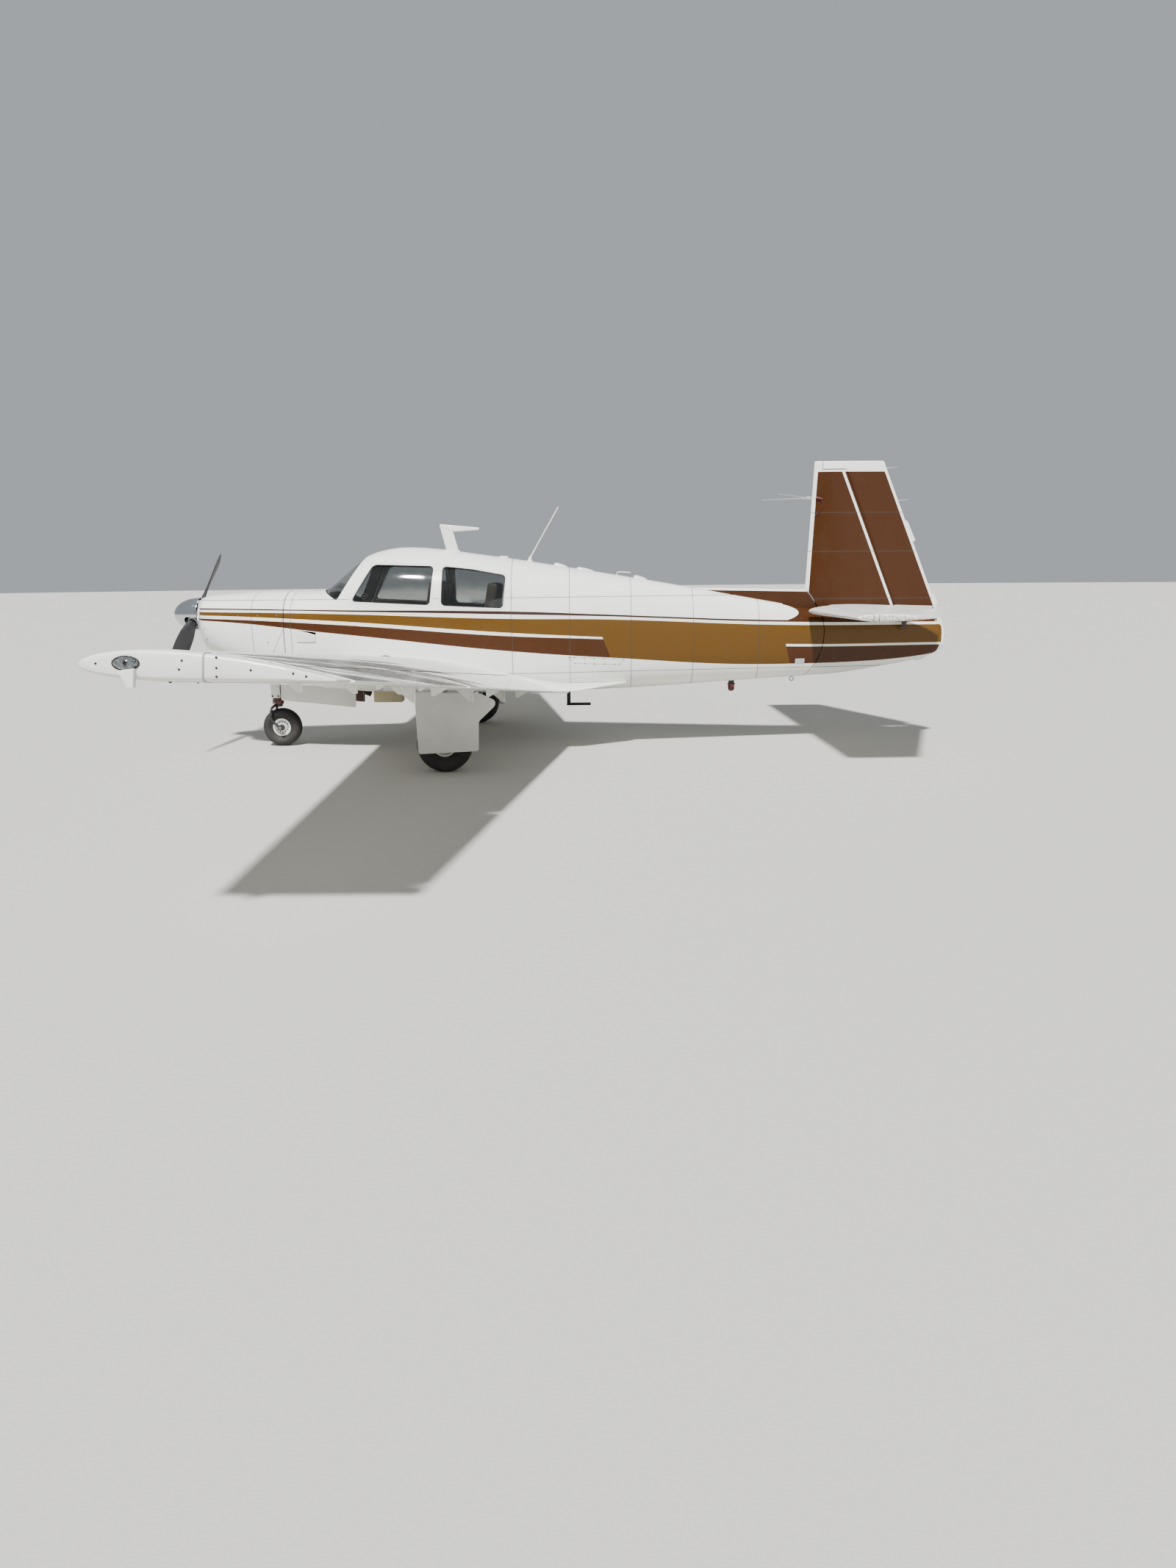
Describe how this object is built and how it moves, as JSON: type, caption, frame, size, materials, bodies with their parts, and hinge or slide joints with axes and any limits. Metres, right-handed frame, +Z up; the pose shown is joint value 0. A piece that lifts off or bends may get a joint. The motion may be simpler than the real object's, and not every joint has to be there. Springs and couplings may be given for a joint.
{
  "type": "light aircraft",
  "caption": "Low-wing cabin monoplane with side-by-side seats, hinged control surfaces, a two-blade propeller, a pivoting tail group and wheels on fixed-down legs.",
  "frame": {"origin": "on the ground at the middle of the bounding box, on the plane of symmetry", "axes": "+X aft along the fuselage, +Y to the aircraft's right, +Z up"},
  "size_m": [7.06, 10.726, 2.503],
  "materials": {
    "white_enamel": "gloss, worn on the wing",
    "brown_enamel": "gloss",
    "engine_metal": "cast",
    "acrylic": "clear",
    "primer": "matt",
    "carpet": "cut pile",
    "panel_black": "wrinkle",
    "seat_cloth": "woven",
    "clear_lens": "clear",
    "red_lens": "tinted",
    "green_lens": "tinted",
    "tyre_rubber": "matt",
    "rim_paint": "painted cast",
    "polished_spinner": "polished",
    "blade_paint": "matt black",
    "antenna_steel": "satin",
    "hot_steel": "heat stained",
    "step_black": "satin"
  },
  "bodies": {
    "airframe": {"upper_cowling": "white_enamel", "lower_cowling": "white_enamel", "engine_block": "engine_metal", "cabin_shell": "white_enamel", "windscreen": "acrylic", "left_front_window": "acrylic", "left_rear_window": "acrylic", "right_rear_window": "acrylic", "nose_gear_bay": "primer", "cabin_floor": "carpet", "instrument_panel": "panel_black", "left_seat": "seat_cloth", "right_seat": "seat_cloth", "rear_bench": "seat_cloth", "tail_cone": "white_enamel", "dorsal_ridge": "brown_enamel", "right_root_fairing": "white_enamel", "right_wing": "white_enamel", "right_wing_tip": "white_enamel", "left_root_fairing": "white_enamel", "left_wing": "white_enamel", "left_wing_tip": "white_enamel", "right_main_leg": "white_enamel", "right_gear_door": "white_enamel", "left_main_leg": "white_enamel", "left_gear_door": "white_enamel", "nose_leg": "white_enamel", "left_nose_door": "white_enamel", "right_nose_door": "white_enamel", "roof_antenna": "white_enamel", "whip_antenna": "antenna_steel", "exhaust_pipe": "hot_steel", "boarding_step": "step_black", "belly_beacon": "red_lens", "right_tip_light": "green_lens", "left_tip_light": "red_lens"},
    "propeller": {"propeller": "blade_paint", "spinner": "polished_spinner"},
    "nose_steering": {"nose_fork": "white_enamel"},
    "nose_wheel": {"nose_tyre": "tyre_rubber", "nose_rim": "rim_paint"},
    "left_wheel": {"left_main_tyre": "tyre_rubber", "left_main_rim": "rim_paint"},
    "right_wheel": {"right_main_tyre": "tyre_rubber", "right_main_rim": "rim_paint"},
    "left_aileron": {"left_aileron": "white_enamel"},
    "right_aileron": {"right_aileron": "white_enamel"},
    "left_flap": {"left_flap": "white_enamel"},
    "right_flap": {"right_flap": "white_enamel"},
    "tail_group": {"tail_section": "white_enamel", "tail_light": "clear_lens", "fin": "brown_enamel", "left_tailplane": "white_enamel", "right_tailplane": "white_enamel"},
    "left_elevator": {"left_elevator": "white_enamel"},
    "right_elevator": {"right_elevator": "white_enamel"},
    "rudder": {"rudder": "brown_enamel"},
    "cabin_door": {"cabin_door": "white_enamel", "door_window": "acrylic"},
    "baggage_door": {"baggage_door": "white_enamel"}
  },
  "joints": [
    {"name": "propeller_turn", "type": "hinge", "parent": "airframe", "child": "propeller", "pos_m": [-3.365, 0, 1.215], "axis": [1, 0, 0], "continuous": true},
    {"name": "nose_steer", "type": "hinge", "parent": "airframe", "child": "nose_steering", "pos_m": [-2.645, 0, 0.42], "axis": [0, 0, 1], "range_deg": [-13, 13]},
    {"name": "nose_wheel_turn", "type": "hinge", "parent": "nose_steering", "child": "nose_wheel", "pos_m": [-2.617, 0, 0.175], "axis": [0, 1, 0], "continuous": true},
    {"name": "left_wheel_turn", "type": "hinge", "parent": "airframe", "child": "left_wheel", "pos_m": [-0.93, -1.38, 0.222], "axis": [0, 1, 0], "continuous": true},
    {"name": "right_wheel_turn", "type": "hinge", "parent": "airframe", "child": "right_wheel", "pos_m": [-0.93, 1.38, 0.222], "axis": [0, 1, 0], "continuous": true},
    {"name": "left_aileron_hinge", "type": "hinge", "parent": "airframe", "child": "left_aileron", "pos_m": [-0.81081, -3.47, 0.94361], "axis": [0.127, 0.9853, -0.1139], "range_deg": [-14, 8]},
    {"name": "right_aileron_hinge", "type": "hinge", "parent": "airframe", "child": "right_aileron", "pos_m": [-0.81081, 3.47, 0.94361], "axis": [-0.127, 0.9853, 0.1139], "range_deg": [-14, 8]},
    {"name": "left_flap_hinge", "type": "hinge", "parent": "airframe", "child": "left_flap", "pos_m": [-0.446, -0.64, 0.61656], "axis": [0.127, 0.9853, -0.1139], "range_deg": [0, 33]},
    {"name": "right_flap_hinge", "type": "hinge", "parent": "airframe", "child": "right_flap", "pos_m": [-0.446, 0.64, 0.61656], "axis": [-0.127, 0.9853, 0.1139], "range_deg": [0, 33]},
    {"name": "tail_trim", "type": "hinge", "parent": "airframe", "child": "tail_group", "pos_m": [1.82, 0, 1], "axis": [0, 1, 0], "range_deg": [-1, 5.5]},
    {"name": "left_elevator_hinge", "type": "hinge", "parent": "tail_group", "child": "left_elevator", "pos_m": [3.05549, -0.105, 1.196], "axis": [0.2448, 0.9696, 0], "range_deg": [-22, 20]},
    {"name": "right_elevator_hinge", "type": "hinge", "parent": "tail_group", "child": "right_elevator", "pos_m": [3.05549, 0.105, 1.196], "axis": [-0.2448, 0.9696, 0], "range_deg": [-22, 20]},
    {"name": "rudder_hinge", "type": "hinge", "parent": "tail_group", "child": "rudder", "pos_m": [3.095, 0, 1.149], "axis": [-0.3827, 0, 0.9239], "range_deg": [-24, 24]},
    {"name": "cabin_door_hinge", "type": "hinge", "parent": "airframe", "child": "cabin_door", "pos_m": [-1.868, 0.572, 1.1], "axis": [0, 0, 1], "range_deg": [0, 80]},
    {"name": "baggage_door_hinge", "type": "hinge", "parent": "airframe", "child": "baggage_door", "pos_m": [-0.352, 0.437, 1.466], "axis": [0.978, -0.2086, 0], "range_deg": [0, 85]}
  ],
  "couplings": [
    {"joint": "left_flap_hinge", "follows": "right_flap_hinge", "ratio": 1},
    {"joint": "left_elevator_hinge", "follows": "right_elevator_hinge", "ratio": 1}
  ]
}
